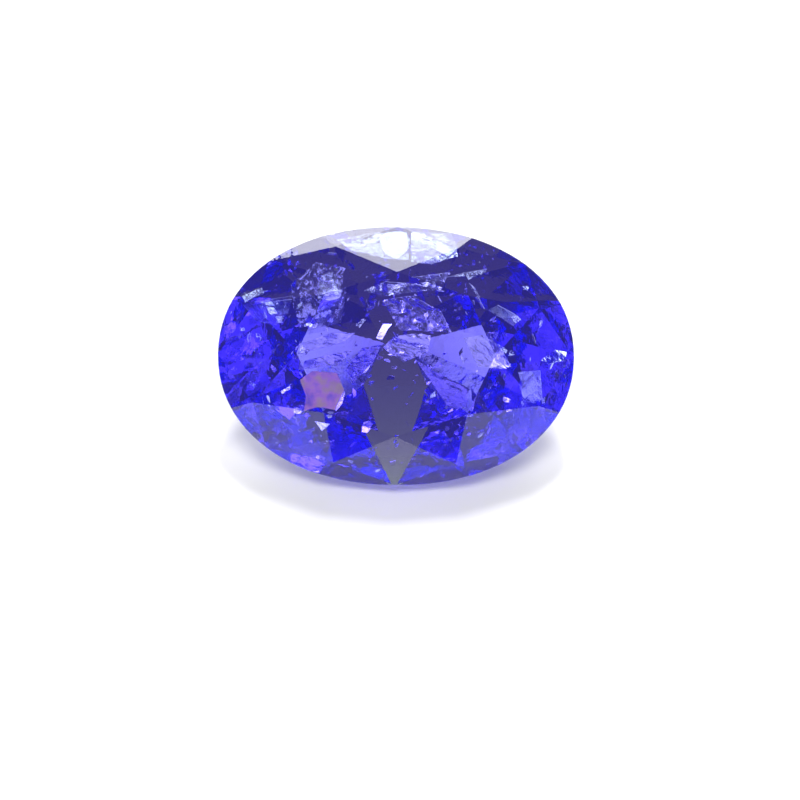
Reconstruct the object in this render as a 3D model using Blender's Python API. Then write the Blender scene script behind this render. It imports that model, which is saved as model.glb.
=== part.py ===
"""A cut oval tanzanite at its real size, lying on one of its lower facets with its table turned to the front."""

import math

import bmesh
import bpy
from mathutils import Matrix, Vector

MM = 0.001

# Outline of the stone, seen square on to its table
LENGTH = 8.0 * MM
WIDTH = 5.8 * MM
ROUNDNESS = 2.12  # exponent of the oval: 2 is an ellipse, more is squarer
GIRDLE_SIDES = 96
GIRDLE_HEIGHT = 0.40 * MM

# Crown, above the girdle
CROWN_FACETS = 8
CROWN_HEIGHT = 0.89 * MM
TABLE_LENGTH_SHARE = 0.555  # table's corners over the outline's, along X
TABLE_WIDTH_SHARE = 0.635  # and along Y
STAR_SHARE = 0.55  # share of the crown's height that the stars take up

# Pavilion, below the girdle
PAVILION_FACETS = 8
PAVILION_DEPTH = 2.42 * MM
LOWER_HALF_SHARE = 0.70  # share of the pavilion's depth that the lower halves reach down
KEEL = 0.54 * MM  # length of the short ridge where the mains meet
KEEL_SHIFT = 0.34 * MM  # by which it lies off the middle

REST_FACET = 6  # number of the lower main facet that the stone lies on: the one that faces -Y
SNAP = 1e-7  # corners nearer to a cut than this lie on it
WELD = 1e-6

COLOUR = (0.045, 0.035, 0.62, 1.0)
ROUGHNESS = 0.02
REFRACTIVE_INDEX = 1.694


class Facet:
    """The plane through three points, facing away from the stone's middle."""

    def __init__(self, first, second, third):
        self.point = first
        self.normal = (second - first).cross(third - first).normalized()
        if self.normal.dot(first) < 0:
            self.normal.negate()

    def crossing(self, other, height):
        """Where this plane and another cross at a height."""
        rows = Matrix((self.normal.xy, other.normal.xy))
        sides = Vector(
            plane.normal.dot(plane.point) - plane.normal.z * height for plane in (self, other)
        )
        return Vector((*(rows.inverted() @ sides), height))


def outline(turns):
    """A point of the oval at a share of the way round, and the direction along the oval there."""
    along, across = LENGTH / 2, WIDTH / 2
    angle = turns * math.tau
    facing = math.atan2(along * math.sin(angle), across * math.cos(angle))
    cosine, sine = math.cos(facing), math.sin(facing)
    power = ROUNDNESS / (ROUNDNESS - 1)
    reach = (abs(along * cosine) ** power + abs(across * sine) ** power) ** (1 / power)
    x = math.copysign(abs(along * cosine) ** (power - 1) * along, cosine)
    y = math.copysign(abs(across * sine) ** (power - 1) * across, sine)
    point = Vector((x, y, 0)) * reach ** (1 - power)
    return point, Vector((-sine, cosine, 0))


def blank():
    """An oval disc with flat sides, as tall as the finished stone."""
    top = GIRDLE_HEIGHT / 2 + CROWN_HEIGHT
    bottom = -GIRDLE_HEIGHT / 2 - PAVILION_DEPTH
    stone = bmesh.new()
    bmesh.ops.create_cone(
        stone, cap_ends=True, segments=GIRDLE_SIDES, radius1=1, radius2=1, depth=2
    )
    for corner in stone.verts:
        turns = math.atan2(corner.co.y, corner.co.x) / math.tau
        rim, _ = outline(turns)
        corner.co = (rim.x, rim.y, top if corner.co.z > 0 else bottom)
    return stone


def grind(stone, facet):
    """Takes off all that stands beyond a facet, and closes the cut with one flat face."""
    whole = stone.verts[:] + stone.edges[:] + stone.faces[:]
    cut = bmesh.ops.bisect_plane(
        stone,
        geom=whole,
        dist=SNAP,
        plane_co=facet.point,
        plane_no=facet.normal,
        clear_outer=True,
    )
    rim = [part for part in cut["geom_cut"] if isinstance(part, bmesh.types.BMEdge)]
    bmesh.ops.contextual_create(stone, geom=rim)


def ring(count, level, apex):
    """The main facets that lean from the girdle's edge, at a level, to the corner that apex gives for each."""
    mains = []
    for number in range(count):
        rim, along = outline(number / count)
        foot = rim + Vector((0, 0, level))
        mains.append(Facet(foot, foot + along * MM, apex(rim)))
    return mains


def halves(mains, level, meeting):
    """The two facets between each pair of mains, from where the mains meet to the girdle's edge."""
    count = len(mains)
    edge = Vector((0, 0, level))
    pairs = []
    for number, main in enumerate(mains):
        tip = main.crossing(mains[(number + 1) % count], meeting)
        middle = outline((number + 0.5) / count)[0] + edge
        for side in (0, 1):
            foot = outline((number + side) / count)[0] + edge
            pairs.append(Facet(tip, foot, middle))
    return pairs


def crown():
    """Table, mains, stars and upper halves."""
    level = GIRDLE_HEIGHT / 2
    top = level + CROWN_HEIGHT
    meeting = top - CROWN_HEIGHT * STAR_SHARE

    def table_corner(rim):
        return Vector((rim.x * TABLE_LENGTH_SHARE, rim.y * TABLE_WIDTH_SHARE, top))

    mains = ring(CROWN_FACETS, level, table_corner)
    stars = []
    for number, main in enumerate(mains):
        following = mains[(number + 1) % CROWN_FACETS]
        ends = [table_corner(outline((number + side) / CROWN_FACETS)[0]) for side in (0, 1)]
        stars.append(Facet(ends[0], ends[1], main.crossing(following, meeting)))
    return mains + stars + halves(mains, level, meeting)


def pavilion():
    """Mains that meet in a short keel, and lower halves."""
    level = -GIRDLE_HEIGHT / 2

    def keel_end(rim):
        return Vector((math.copysign(KEEL / 2, rim.x), KEEL_SHIFT, level - PAVILION_DEPTH))

    mains = ring(PAVILION_FACETS, level, keel_end)
    return mains, halves(mains, level, level - PAVILION_DEPTH * LOWER_HALF_SHARE)


def lay_down(stone, facet):
    """Turns the stone about X until a facet faces straight down, and sets that facet on the ground."""
    tilt = facet.normal.rotation_difference(Vector((0, 0, -1))).to_matrix()
    bmesh.ops.rotate(stone, verts=stone.verts, cent=(0, 0, 0), matrix=tilt)
    low = [min(corner.co[axis] for corner in stone.verts) for axis in range(3)]
    high = [max(corner.co[axis] for corner in stone.verts) for axis in range(3)]
    centre = [(low[axis] + high[axis]) / 2 for axis in range(2)]
    bmesh.ops.translate(stone, verts=stone.verts, vec=(-centre[0], -centre[1], -low[2]))


def stone_mesh():
    """The stone, cut facet by facet and laid on its side."""
    stone = blank()
    mains, lower_halves = pavilion()
    for facet in crown() + mains + lower_halves:
        grind(stone, facet)
    bmesh.ops.remove_doubles(stone, verts=stone.verts, dist=WELD)
    bmesh.ops.dissolve_degenerate(stone, edges=stone.edges, dist=WELD)
    bmesh.ops.recalc_face_normals(stone, faces=stone.faces)
    lay_down(stone, mains[REST_FACET])
    mesh = bpy.data.meshes.new("tanzanite")
    stone.to_mesh(mesh)
    stone.free()
    mesh.shade_flat()
    return mesh


def stone_material():
    """Clear blue crystal."""
    material = bpy.data.materials.new("tanzanite")
    material.use_nodes = True
    shader = material.node_tree.nodes["Principled BSDF"]
    shader.inputs["Base Color"].default_value = COLOUR
    shader.inputs["Roughness"].default_value = ROUGHNESS
    shader.inputs["Metallic"].default_value = 0.0
    shader.inputs["IOR"].default_value = REFRACTIVE_INDEX
    shader.inputs["Transmission Weight"].default_value = 1.0
    return material


def main():
    for old in list(bpy.data.objects):
        bpy.data.objects.remove(old)
    collection = bpy.data.collections.new("oval tanzanite")
    bpy.context.scene.collection.children.link(collection)
    stone = bpy.data.objects.new("tanzanite", stone_mesh())
    stone.data.materials.append(stone_material())
    collection.objects.link(stone)


main()
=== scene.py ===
import math
import random

import bmesh
import bpy
from mathutils import Matrix, Vector, noise
from mathutils.bvhtree import BVHTree


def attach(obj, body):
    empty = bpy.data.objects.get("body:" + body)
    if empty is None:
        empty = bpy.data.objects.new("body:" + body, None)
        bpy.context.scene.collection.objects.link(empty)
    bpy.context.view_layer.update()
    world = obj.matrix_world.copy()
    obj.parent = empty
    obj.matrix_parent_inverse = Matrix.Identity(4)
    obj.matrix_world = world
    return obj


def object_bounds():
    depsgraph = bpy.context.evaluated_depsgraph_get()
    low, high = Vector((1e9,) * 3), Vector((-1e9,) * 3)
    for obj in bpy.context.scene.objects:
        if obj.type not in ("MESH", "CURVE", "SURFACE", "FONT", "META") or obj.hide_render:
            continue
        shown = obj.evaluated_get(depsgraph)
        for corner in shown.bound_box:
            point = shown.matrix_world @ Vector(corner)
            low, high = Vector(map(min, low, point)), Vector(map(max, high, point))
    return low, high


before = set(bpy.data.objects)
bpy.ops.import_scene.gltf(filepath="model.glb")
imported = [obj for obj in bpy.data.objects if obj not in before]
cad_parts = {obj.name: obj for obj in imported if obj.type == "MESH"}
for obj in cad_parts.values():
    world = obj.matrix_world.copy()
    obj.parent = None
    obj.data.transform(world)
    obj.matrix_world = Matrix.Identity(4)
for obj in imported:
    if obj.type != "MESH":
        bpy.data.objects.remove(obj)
cad_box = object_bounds()

MM = 0.001

# The photograph's frame, in pixels
PICTURE_SIDE = 800
OUTLINE_MIDDLE = (396, 356.5)
OUTLINE_WIDTH = 354

# Where it was taken from
CAMERA_AZIMUTH = 0.0
CAMERA_ELEVATION = 51.2
CAMERA_ROLL = 0.7
CAMERA_DISTANCE = 150 * MM
SENSOR = 36.0  # mm

# Crystal
REFRACTIVE_INDEX = 1.694
SURFACE_TINT = (0.67, 0.84, 1.0)
SURFACE_ROUGHNESS = 0.03
POLISH_SIZE = 0.9 * MM  # of the slight swells that polishing left
POLISH_HEIGHT = 0.012 * MM
ABSORBED_PER_MM = (0.33, 0.44, 0.015)  # red, green, blue
DENSITY_MARGIN = 1.1  # over the strongest absorption, which keeps each colour's share positive
SMALLEST_FACET = 0.01 * MM * MM
SAME_FACING = 0.9999  # cosine above which two directions count as one
GRAZING = 0.15  # cosine below which a facet lets too little of a light in

# Fractures
GAP = 0.006 * MM  # between a fracture's two walls
COVER = 0.03 * MM  # least depth of a fracture below the surface
MESH_STEP = 0.06 * MM
SPLITS = 5
SWELL_SIZE = 0.35 * MM  # of the swells in a fracture's surface
FINE_SWELLS = 2.7  # how much finer the second set of swells is, at half the height
FRACTURE_ROUGHNESS = 0.08
GRAIN_SIZE = 0.08 * MM
GRAIN_HEIGHT = 0.006 * MM

# Lights: azimuth, elevation, half angle as seen from the stone, radiance
LIGHT_DISTANCE = 0.6
LIGHTS = {
    "lamp": (4, 54, 5, 60),
    "window": (-6, 26, 20, 4.2),
    "glow": (34, 38, 12, 1.1),
    "overhead": (180, 80, 14, 6),
    "right": (135, 6, 12, 4),
    "left": (-68, 12, 11, 3),
    "front": (-172, 15, 10, 2.0),
}
AMBIENT = 0.22
FLOOR_GLOW = 0.08  # the white surface lets a little light through from below
FLOOR_SIZE = 1.5
FLOOR_WHITE = 0.9
BOUNCES = 32

# Pinpoints
PINPOINTS = 260
PINPOINT_SIZE = (0.03 * MM, 0.16 * MM)
PINPOINT_ROUGHNESS = 0.05
PINPOINT_WIDTH = 0.6  # of its length
PINPOINT_SEED = 7

# The pink film in one fracture, as an outline in the photograph's pixels
PINK_FILM = [(300, 380), (312, 371), (337, 373), (344, 390), (335, 410), (318, 407), (304, 411), (306, 396)]
PINK_FILM_DEPTH = 0.2 * MM
PINK_FILM_SWELL = 0.01  # mm
PINK_FILM_ROUGHNESS = 0.45
PINK_FILM_PATCHES_PER_MM = 2.2
PINK_FILM_COLOURS = {0.35: (0.3, 0.15, 1.0, 1), 0.5: (1.0, 0.38, 1.0, 1), 0.62: (1.0, 0.6, 0.6, 1)}

# Fractures that the photograph shows, as outlines in its pixels: depth below the surface in mm, the light
# that each one mirrors to the camera, and the height of its swells in mm
FRACTURES = {
    "top blob": (
        0.10, "lamp", 0.002,
        [(379, 239), (386, 232), (401, 231), (410, 239), (408, 251), (396, 259), (384, 254)],
    ),
    "top left sheet": (
        0.2, "window", 0.015,
        [(336, 240), (372, 233), (407, 232), (409, 260), (388, 259), (352, 251)],
    ),
    "top right sheet": (
        0.2, "window", 0.02,
        [(411, 233), (452, 234), (496, 242), (458, 256), (432, 264), (411, 262)],
    ),
    "top right patch": (0.12, "lamp", 0.012, [(434, 238), (452, 238), (457, 248), (448, 257), (436, 250)]),
    "left bar": (0.25, "lamp", 0.0, [(242, 296), (262, 288), (265, 293), (245, 302)]),
    "left cluster": (
        0.35, "glow", 0.02,
        [(243, 305), (268, 300), (292, 299), (288, 313), (274, 325), (256, 320)],
    ),
    "cluster dot a": (0.3, "lamp", 0.0, [(265, 300), (273, 299), (274, 305), (266, 305)]),
    "cluster dot b": (0.3, "lamp", 0.0, [(267, 308), (274, 307), (277, 313), (270, 315)]),
    "cluster dot c": (0.3, "lamp", 0.0, [(276, 316), (283, 316), (283, 322), (277, 322)]),
    "ring": (0.5, "window", 0.02, [(320, 277), (333, 272), (341, 285), (340, 298), (330, 301), (318, 298)]),
    "ring edge": (0.45, "lamp", 0.004, [(330, 279), (335, 281), (340, 296), (336, 297)]),
    "band": (
        0.8, "glow", 0.03,
        [(364, 291), (386, 281), (412, 284), (450, 272), (444, 283), (420, 291), (384, 296)],
    ),
    "vein": (0.4, "lamp", 0.012, [(447, 277), (464, 273), (487, 269), (485, 273), (468, 280), (466, 276)]),
    "vein tail": (0.4, "window", 0.004, [(469, 283), (474, 287), (485, 309), (481, 306)]),
    "right wedge": (
        0.35, "glow", 0.01,
        [(488, 310), (498, 305), (513, 313), (521, 319), (513, 326), (500, 317)],
    ),
    "wedge dot": (0.3, "lamp", 0.0, [(511, 317), (517, 315), (521, 320), (515, 323)]),
    "right sliver": (0.3, "lamp", 0.0, [(537, 327), (542, 318), (543, 321), (541, 328), (538, 331)]),
    "middle sliver": (0.6, "lamp", 0.0, [(355, 326), (363, 318), (366, 320), (359, 328)]),
    "middle streak": (0.7, "lamp", 0.004, [(376, 338), (383, 324), (392, 324), (388, 329), (382, 340)]),
    "centre": (
        1.0, "glow", 0.02,
        [(383, 347), (393, 337), (415, 333), (431, 336), (428, 352), (404, 362), (390, 353)],
    ),
    "right wing": (0.8, "glow", 0.008, [(464, 338), (489, 332), (512, 367), (478, 367)]),
    "right strip": (1.2, "glow", 0.012, [(416, 360), (434, 371), (469, 388), (467, 408), (449, 408)]),
    "left wing high": (0.8, "glow", 0.008, [(298, 354), (303, 343), (331, 333), (355, 333), (344, 342)]),
    "left wing low": (1.0, "glow", 0.012, [(299, 370), (300, 363), (340, 352), (353, 350), (338, 365)]),
    "left wing end": (1.2, "glow", 0.02, [(346, 368), (362, 348), (381, 345), (372, 365), (352, 384)]),
    "right feather": (0.3, "window", 0.012, [(541, 360), (555, 350), (569, 350), (565, 360), (548, 364)]),
    "right slab": (0.7, "right", 0.01, [(518, 372), (540, 370), (545, 404), (524, 402)]),
    "low stripe": (0.3, "left", 0.006, [(289, 453), (301, 445), (331, 440), (333, 445), (306, 455)]),
    "low triangle": (0.3, "left", 0.0, [(315, 421), (330, 424), (322, 431)]),
    "high veil": (1.3, "overhead", 0.03, [(290, 285), (316, 262), (345, 268), (341, 322), (300, 328)]),
    "middle veil": (1.5, "glow", 0.03, [(382, 300), (412, 296), (440, 310), (452, 332), (400, 330)]),
    "curved sliver": (0.7, "window", 0.004, [(471, 386), (478, 392), (493, 418), (488, 415), (476, 402)]),
    "lower glint": (0.4, "lamp", 0.0, [(362, 426), (369, 421), (373, 424), (367, 433), (362, 432)]),
    "left glint a": (0.3, "lamp", 0.0, [(293, 409), (302, 411), (300, 414), (294, 413)]),
    "left glint b": (0.3, "lamp", 0.0, [(250, 381), (256, 385), (255, 388), (250, 385)]),
    "left glint c": (0.3, "lamp", 0.0, [(281, 391), (290, 386), (290, 389), (282, 394)]),
    "left glint d": (0.3, "lamp", 0.0, [(256, 333), (261, 334), (261, 338), (256, 338)]),
    "left glint e": (0.3, "lamp", 0.0, [(240, 327), (244, 327), (244, 331), (240, 331)]),
    "right glint a": (0.3, "lamp", 0.0, [(498, 344), (507, 350), (506, 354), (501, 350)]),
    "right glint b": (0.3, "lamp", 0.0, [(509, 351), (514, 351), (514, 356), (509, 356)]),
    "right glint c": (0.3, "lamp", 0.0, [(521, 401), (527, 404), (526, 408), (521, 408)]),
    "right glint d": (0.3, "lamp", 0.0, [(523, 286), (529, 286), (528, 290), (524, 290)]),
    "pink film edge": (0.45, "lamp", 0.002, [(340, 389), (345, 392), (342, 404), (336, 411), (335, 408)]),
}

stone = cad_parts["tanzanite"]


def towards(azimuth, elevation):
    """The direction in which something stands, from the stone. Azimuth 0 is behind it, and 90 on its right."""
    a, e = math.radians(azimuth), math.radians(elevation)
    return Vector((math.sin(a) * math.cos(e), math.cos(a) * math.cos(e), math.sin(e)))


class Sight:
    """The camera's place and axes, and the way from a pixel of the photograph into the scene."""

    def __init__(self):
        self.back = towards(CAMERA_AZIMUTH + 180, CAMERA_ELEVATION)
        right = Vector((0, 0, 1)).cross(self.back).normalized()
        up = self.back.cross(right)
        roll = math.radians(CAMERA_ROLL)
        self.right = right * math.cos(roll) + up * math.sin(roll)
        self.up = up * math.cos(roll) - right * math.sin(roll)
        corners = [stone.matrix_world @ v.co for v in stone.data.vertices]
        across = [c.dot(self.right) for c in corners]
        along = [c.dot(self.up) for c in corners]
        depth = [c.dot(self.back) for c in corners]
        self.pixel = (max(across) - min(across)) / OUTLINE_WIDTH
        middle = self.right * (max(across) + min(across)) / 2
        middle += self.up * (max(along) + min(along)) / 2
        middle += self.back * (max(depth) + min(depth)) / 2
        half = PICTURE_SIDE / 2
        aim = middle - self.right * (OUTLINE_MIDDLE[0] - half) * self.pixel
        aim += self.up * (OUTLINE_MIDDLE[1] - half) * self.pixel
        self.aim = aim
        self.eye = aim + self.back * CAMERA_DISTANCE

    def ray(self, x, y):
        half = PICTURE_SIDE / 2
        target = self.aim + self.right * (x - half) * self.pixel - self.up * (y - half) * self.pixel
        return self.eye, (target - self.eye).normalized()


def bent(way, normal, ratio):
    """A ray's direction after a surface that faces it, for a ratio of refractive indices."""
    cosine = -way.dot(normal)
    rest = 1 - ratio * ratio * (1 - cosine * cosine)
    return (way * ratio + normal * (ratio * cosine - math.sqrt(max(rest, 0)))).normalized()


class Crystal:
    """The stone's facets, and the ways of light through them."""

    def __init__(self):
        mesh = stone.data
        place = stone.matrix_world
        self.tree = BVHTree.FromPolygons(
            [place @ v.co for v in mesh.vertices], [p.vertices[:] for p in mesh.polygons]
        )
        self.normals = []
        for polygon in mesh.polygons:
            known = any(polygon.normal.dot(normal) >= SAME_FACING for normal in self.normals)
            if polygon.area > SMALLEST_FACET and not known:
                self.normals.append(polygon.normal.copy())

    def enter(self, eye, way):
        """Where a ray enters, and its direction inside."""
        spot, normal, _, _ = self.tree.ray_cast(eye, way)
        if spot is None:
            return None, None
        return spot, bent(way, normal, 1 / REFRACTIVE_INDEX)

    def way_out(self, spot, light):
        """The direction inside that leads from a spot straight to a light."""
        best, found = 0, None
        for normal in self.normals:
            if light.dot(normal) < GRAZING:
                continue
            inner = -bent(-light, normal, 1 / REFRACTIVE_INDEX)
            _, face, _, _ = self.tree.ray_cast(spot, inner)
            if face is not None and face.dot(normal) > SAME_FACING and light.dot(normal) > best:
                best, found = light.dot(normal), inner
        return found


def make_camera(sight):
    """Looks at the stone from where the photograph was taken."""
    data = bpy.data.cameras.new("camera")
    data.sensor_width = SENSOR
    data.lens = SENSOR * CAMERA_DISTANCE / (sight.pixel * PICTURE_SIDE)
    data.clip_start = 1 * MM
    data.clip_end = 10
    camera = bpy.data.objects.new("camera", data)
    bpy.context.scene.collection.objects.link(camera)
    turn = Matrix((sight.right, sight.up, sight.back)).transposed().to_4x4()
    camera.matrix_world = Matrix.Translation(sight.eye) @ turn
    bpy.context.scene.camera = camera


def crystal_material():
    """Clear crystal that takes red and green out of the light on its way through."""
    material = bpy.data.materials.new("crystal")
    material.use_nodes = True
    nodes, links = material.node_tree.nodes, material.node_tree.links
    shader = nodes["Principled BSDF"]
    shader.inputs["Base Color"].default_value = (*SURFACE_TINT, 1)
    shader.inputs["Roughness"].default_value = SURFACE_ROUGHNESS
    shader.inputs["IOR"].default_value = REFRACTIVE_INDEX
    shader.inputs["Transmission Weight"].default_value = 1.0
    add_bump(material, POLISH_SIZE, POLISH_HEIGHT)
    volume = nodes.new("ShaderNodeVolumeAbsorption")
    most = max(ABSORBED_PER_MM) * DENSITY_MARGIN
    volume.inputs["Density"].default_value = most / MM
    volume.inputs["Color"].default_value = (*(1 - part / most for part in ABSORBED_PER_MM), 1)
    links.new(volume.outputs[0], nodes["Material Output"].inputs["Volume"])
    return material


def add_bump(material, size, height):
    """Unevenness of a surface, finer and coarser than a size."""
    nodes, links = material.node_tree.nodes, material.node_tree.links
    place = nodes.new("ShaderNodeTexCoord")
    swells = nodes.new("ShaderNodeTexNoise")
    swells.inputs["Scale"].default_value = 1 / size
    swells.inputs["Detail"].default_value = 4
    bump = nodes.new("ShaderNodeBump")
    bump.inputs["Distance"].default_value = height
    links.new(place.outputs["Object"], swells.inputs["Vector"])
    links.new(swells.outputs["Fac"], bump.inputs["Height"])
    links.new(bump.outputs["Normal"], nodes["Principled BSDF"].inputs["Normal"])


def fracture_material(name, roughness):
    """The two walls of an open fracture: the same crystal, with an uneven surface."""
    material = bpy.data.materials.new(name)
    material.use_nodes = True
    shader = material.node_tree.nodes["Principled BSDF"]
    shader.inputs["Base Color"].default_value = (1, 1, 1, 1)
    shader.inputs["Roughness"].default_value = roughness
    shader.inputs["IOR"].default_value = REFRACTIVE_INDEX
    shader.inputs["Transmission Weight"].default_value = 1.0
    add_bump(material, GRAIN_SIZE, GRAIN_HEIGHT)
    return material


def add_gap(shape, corners, normal, swell):
    """A thin gap in the crystal: two walls of an outline, with swells, closed round the edge."""
    patch = bmesh.new()
    patch.faces.new([patch.verts.new(corner) for corner in corners])
    bmesh.ops.triangulate(patch, faces=patch.faces[:])
    for _ in range(SPLITS):
        long_edges = [edge for edge in patch.edges if edge.calc_length() > MESH_STEP]
        if not swell or not long_edges:
            break
        bmesh.ops.subdivide_edges(patch, edges=long_edges, cuts=1)
        bmesh.ops.triangulate(patch, faces=patch.faces[:])
    if swell:
        for corner in patch.verts:
            lift = noise.noise(corner.co / SWELL_SIZE)
            lift += 0.5 * noise.noise(corner.co * FINE_SWELLS / SWELL_SIZE)
            corner.co += normal * lift * swell * MM
    bmesh.ops.recalc_face_normals(patch, faces=patch.faces)
    bmesh.ops.solidify(patch, geom=patch.faces[:], thickness=GAP)
    bmesh.ops.recalc_face_normals(patch, faces=patch.faces)
    bmesh.ops.reverse_faces(patch, faces=patch.faces)
    mesh = bpy.data.meshes.new("gap")
    patch.to_mesh(mesh)
    patch.free()
    shape.from_mesh(mesh)
    bpy.data.meshes.remove(mesh)


def laid_out(sight, crystal, outline, depth, light):
    """An outline's corners on the plane that mirrors a light to the camera, and that plane's normal."""
    centre = [sum(part) / len(outline) for part in zip(*outline)]
    spot, way = crystal.enter(*sight.ray(*centre))
    middle = spot + way * depth
    azimuth, elevation, _, _ = LIGHTS[light]
    out = crystal.way_out(middle, towards(azimuth, elevation))
    normal = ((out or Vector((0, 0, 1))) - way).normalized()
    corners = []
    for pixel in outline:
        start, inner = crystal.enter(*sight.ray(*pixel))
        if start is not None:
            reach = (middle - start).dot(normal) / inner.dot(normal)
            corners.append(start + inner * max(reach, COVER))
    return corners, normal


def make_fractures(sight, crystal):
    """The fractures listed at the top."""
    material = fracture_material("fracture", FRACTURE_ROUGHNESS)
    for name, (depth, light, swell, outline) in FRACTURES.items():
        corners, normal = laid_out(sight, crystal, outline, depth * MM, light)
        patch = bmesh.new()
        add_gap(patch, corners, normal, swell)
        add_piece("fracture_" + name.replace(" ", "_"), patch, material)


def add_piece(name, shape, material):
    """A shape as a piece that rides on the stone."""
    mesh = bpy.data.meshes.new(name)
    shape.to_mesh(mesh)
    shape.free()
    mesh.materials.append(material)
    piece = bpy.data.objects.new(name, mesh)
    bpy.context.scene.collection.objects.link(piece)
    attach(piece, "root")


def make_pinpoints(crystal):
    """Tiny fractures all through the stone, each turned its own way."""
    chance = random.Random(PINPOINT_SEED)
    shape = bmesh.new()
    low, high = cad_box
    made = 0
    while made < PINPOINTS:
        middle = Vector([chance.uniform(low[axis], high[axis]) for axis in range(3)])
        near, normal, _, gap = crystal.tree.find_nearest(middle)
        size = chance.uniform(*PINPOINT_SIZE)
        if (middle - near).dot(normal) > 0 or gap < size + COVER:
            continue
        facing = Vector([chance.gauss(0, 1) for _ in range(3)]).normalized()
        side = facing.orthogonal().normalized()
        other = facing.cross(side)
        count = chance.randint(4, 6)
        corners = []
        for number in range(count):
            angle = math.tau * (number + chance.uniform(-0.25, 0.25)) / count
            reach = size * chance.uniform(0.5, 1)
            across = other * math.sin(angle) * PINPOINT_WIDTH
            corners.append(middle + (side * math.cos(angle) + across) * reach)
        add_gap(shape, corners, facing, 0)
        made += 1
    add_piece("pinpoints", shape, fracture_material("pinpoint", PINPOINT_ROUGHNESS))


def make_pink_film(sight, crystal):
    """The pink film in one fracture, lower left."""
    material = bpy.data.materials.new("pink_film")
    material.use_nodes = True
    nodes, links = material.node_tree.nodes, material.node_tree.links
    shader = nodes["Principled BSDF"]
    shader.inputs["Roughness"].default_value = PINK_FILM_ROUGHNESS
    patches = nodes.new("ShaderNodeTexNoise")
    patches.inputs["Scale"].default_value = PINK_FILM_PATCHES_PER_MM / MM
    patches.inputs["Detail"].default_value = 5
    place = nodes.new("ShaderNodeTexCoord")
    colours = nodes.new("ShaderNodeValToRGB")
    ramp = colours.color_ramp
    first, middle, last = PINK_FILM_COLOURS
    ramp.elements[0].position = first
    ramp.elements[0].color = PINK_FILM_COLOURS[first]
    ramp.elements[1].position = last
    ramp.elements[1].color = PINK_FILM_COLOURS[last]
    ramp.elements.new(middle).color = PINK_FILM_COLOURS[middle]
    links.new(place.outputs["Object"], patches.inputs["Vector"])
    links.new(patches.outputs["Fac"], colours.inputs["Fac"])
    links.new(colours.outputs["Color"], shader.inputs["Base Color"])
    corners, normal = laid_out(sight, crystal, PINK_FILM, PINK_FILM_DEPTH, "overhead")
    shape = bmesh.new()
    add_gap(shape, corners, normal, PINK_FILM_SWELL)
    bmesh.ops.reverse_faces(shape, faces=shape.faces)
    add_piece("pink_film", shape, material)


def make_floor():
    """The white surface that the stone lies on."""
    data = bpy.data.meshes.new("floor")
    grid = bmesh.new()
    bmesh.ops.create_grid(grid, x_segments=1, y_segments=1, size=FLOOR_SIZE)
    grid.to_mesh(data)
    grid.free()
    floor = bpy.data.objects.new("floor", data)
    bpy.context.scene.collection.objects.link(floor)
    material = bpy.data.materials.new("floor")
    material.use_nodes = True
    shader = material.node_tree.nodes["Principled BSDF"]
    shader.inputs["Base Color"].default_value = (FLOOR_WHITE, FLOOR_WHITE, FLOOR_WHITE, 1)
    shader.inputs["Roughness"].default_value = 0.9
    shader.inputs["Emission Color"].default_value = (1, 1, 1, 1)
    shader.inputs["Emission Strength"].default_value = FLOOR_GLOW
    data.materials.append(material)


def make_world():
    """Even white light from all round."""
    world = bpy.data.worlds.new("studio")
    bpy.context.scene.world = world
    world.use_nodes = True
    background = world.node_tree.nodes["Background"]
    background.inputs["Color"].default_value = (1, 1, 1, 1)
    background.inputs["Strength"].default_value = AMBIENT


def make_lights():
    """Round lights, each as bright as its radiance says."""
    for name, (azimuth, elevation, half_angle, radiance) in LIGHTS.items():
        data = bpy.data.lights.new(name, "AREA")
        data.shape = "DISK"
        data.size = 2 * LIGHT_DISTANCE * math.tan(math.radians(half_angle))
        data.energy = radiance * math.pi * data.size**2
        light = bpy.data.objects.new(name, data)
        bpy.context.scene.collection.objects.link(light)
        way = towards(azimuth, elevation)
        turn = way.to_track_quat("Z", "Y").to_matrix().to_4x4()
        light.matrix_world = Matrix.Translation(way * LIGHT_DISTANCE) @ turn


def set_look():
    """Plain view colours, and enough bounces for light to leave the stone."""
    scene = bpy.context.scene
    scene.view_settings.view_transform = "Standard"
    scene.view_settings.look = "None"
    scene.cycles.max_bounces = BOUNCES
    scene.cycles.transmission_bounces = BOUNCES
    scene.cycles.glossy_bounces = BOUNCES


sight = Sight()
crystal = Crystal()
make_camera(sight)
stone.data.materials.clear()
stone.data.materials.append(crystal_material())
stone.data.shade_flat()
make_fractures(sight, crystal)
make_pinpoints(crystal)
make_pink_film(sight, crystal)
make_floor()
make_world()
make_lights()
set_look()
